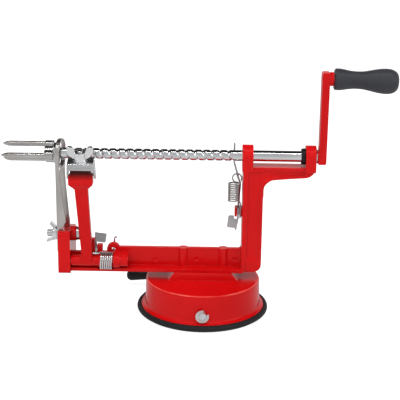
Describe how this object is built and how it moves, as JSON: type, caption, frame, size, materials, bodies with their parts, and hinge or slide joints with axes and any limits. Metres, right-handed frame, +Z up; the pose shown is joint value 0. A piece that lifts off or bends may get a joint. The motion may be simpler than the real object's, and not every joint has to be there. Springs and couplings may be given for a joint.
{
  "type": "fruit peeler",
  "caption": "Hand-cranked fruit peeler, corer and slicer: feed screw with fork and crank, sprung peeling arm, coring loop, on a lever-locked suction base.",
  "frame": {"origin": "centre of the suction pad's flat underside, on the table", "axes": "+X along the feed screw from the fork to the crank, +Y away from the side with the peeling arm, +Z up"},
  "size_m": [0.2783, 0.0995, 0.181],
  "materials": {
    "enamel": "gloss",
    "enamel_base": "gloss",
    "pad_rubber": "matte",
    "plated_screw": "satin",
    "axle_steel": "satin",
    "spring_clip": "satin",
    "stud_plastic": "matte",
    "lever_steel": "satin",
    "lever_sleeve": "satin",
    "screw_chrome": "polished",
    "bush_plastic": "satin",
    "hub_metal": "satin",
    "prong_chrome": "polished",
    "nut_steel": "satin",
    "enamel_crank": "gloss",
    "pin_steel": "satin",
    "grip_plastic": "satin",
    "blade_steel": "satin",
    "bolt_steel": "satin",
    "washer_steel": "satin",
    "wing_nut_steel": "polished",
    "rod_steel": "satin",
    "enamel_arm": "gloss",
    "bracket_steel": "satin",
    "peel_blade_steel": "satin",
    "stud_steel": "satin",
    "washer_bright": "satin",
    "wing_nut_bright": "polished",
    "latch_steel": "satin",
    "latch_pin_steel": "satin",
    "release_steel": "satin",
    "release_pin_steel": "satin",
    "arm_spring_wire": "satin",
    "release_spring_wire": "satin"
  },
  "bodies": {
    "frame": {"frame_casting": "enamel", "suction_dome": "enamel_base", "suction_pad": "pad_rubber", "base_screws": "plated_screw", "arm_pivot_rod": "rod_steel", "slicer_bolt": "bolt_steel", "slicer_washer": "washer_steel", "slicer_blade": "blade_steel", "peeler_arm_spring": "arm_spring_wire", "release_spring": "release_spring_wire", "release_pin": "release_pin_steel", "latch_pin": "latch_pin_steel"},
    "bush": {"rear_bush": "bush_plastic"},
    "screw": {"drive_shaft": "screw_chrome", "fork_hub": "hub_metal", "fork_prongs": "prong_chrome", "fork_lock_nut": "nut_steel", "crank_arm": "enamel_crank", "grip_pin": "pin_steel"},
    "grip": {"grip": "grip_plastic"},
    "arm": {"peeler_arm": "enamel_arm", "blade_bracket": "bracket_steel", "peeling_blade": "peel_blade_steel", "bracket_bolt": "stud_steel", "bracket_washer": "washer_bright"},
    "bracket_nut": {"bracket_wing_nut": "wing_nut_bright"},
    "slicer_nut": {"slicer_wing_nut": "wing_nut_steel"},
    "latch": {"arm_latch": "latch_steel"},
    "release": {"feed_release": "release_steel"},
    "lever": {"cam_axle": "axle_steel", "suction_lever": "lever_steel", "lever_grip": "lever_sleeve", "axle_clip": "spring_clip"},
    "stud": {"pull_stud": "stud_plastic"}
  },
  "joints": [
    {"name": "crank_turn", "type": "hinge", "parent": "frame", "child": "bush", "pos_m": [0.075, 0, 0.117], "axis": [1, 0, 0], "range_deg": [0, 6840]},
    {"name": "shaft_feed", "type": "slide", "parent": "bush", "child": "screw", "axis": [1, 0, 0], "range_m": [0, 0.1154]},
    {"name": "grip_spin", "type": "hinge", "parent": "screw", "child": "grip", "pos_m": [0.0894, 0, 0.1729], "axis": [0.9996, 0, -0.0279], "continuous": true},
    {"name": "peeler_arm_swing", "type": "hinge", "parent": "frame", "child": "arm", "pos_m": [-0.08, -0.01, 0.0398], "axis": [1, 0, 0], "range_deg": [0, 60], "stiffness_Nm_per_rad": 0.15, "springref_deg": -34.38},
    {"name": "bracket_nut_turn", "type": "hinge", "parent": "arm", "child": "bracket_nut", "pos_m": [-0.0866, -0.0155, 0.1146], "axis": [0, -0.2756, 0.9613], "range_deg": [0, 360]},
    {"name": "slicer_nut_turn", "type": "hinge", "parent": "frame", "child": "slicer_nut", "pos_m": [-0.108, 0, 0.057], "axis": [-1, 0, 0], "range_deg": [0, 360]},
    {"name": "arm_latch_turn", "type": "hinge", "parent": "frame", "child": "latch", "pos_m": [-0.0778, -0.0012, 0.047], "axis": [-1, 0, 0], "range_deg": [0, 20]},
    {"name": "feed_release_turn", "type": "hinge", "parent": "frame", "child": "release", "pos_m": [0.0247, 0, 0.0756], "axis": [-1, 0, 0], "range_deg": [0, 6], "stiffness_Nm_per_rad": 0.2, "springref_deg": -5.73},
    {"name": "suction_lever_turn", "type": "hinge", "parent": "frame", "child": "lever", "pos_m": [0, 0.046, 0.0114], "axis": [0, 1, 0], "range_deg": [0, 120]},
    {"name": "stud_lift", "type": "slide", "parent": "frame", "child": "stud", "axis": [0, 0, 1], "range_m": [-0.00255, 0]}
  ],
  "couplings": [
    {"joint": "shaft_feed", "follows": "crank_turn", "m_per_rad": 0.00096607},
    {"joint": "stud_lift", "follows": "suction_lever_turn", "m_per_rad": -0.0011937}
  ]
}
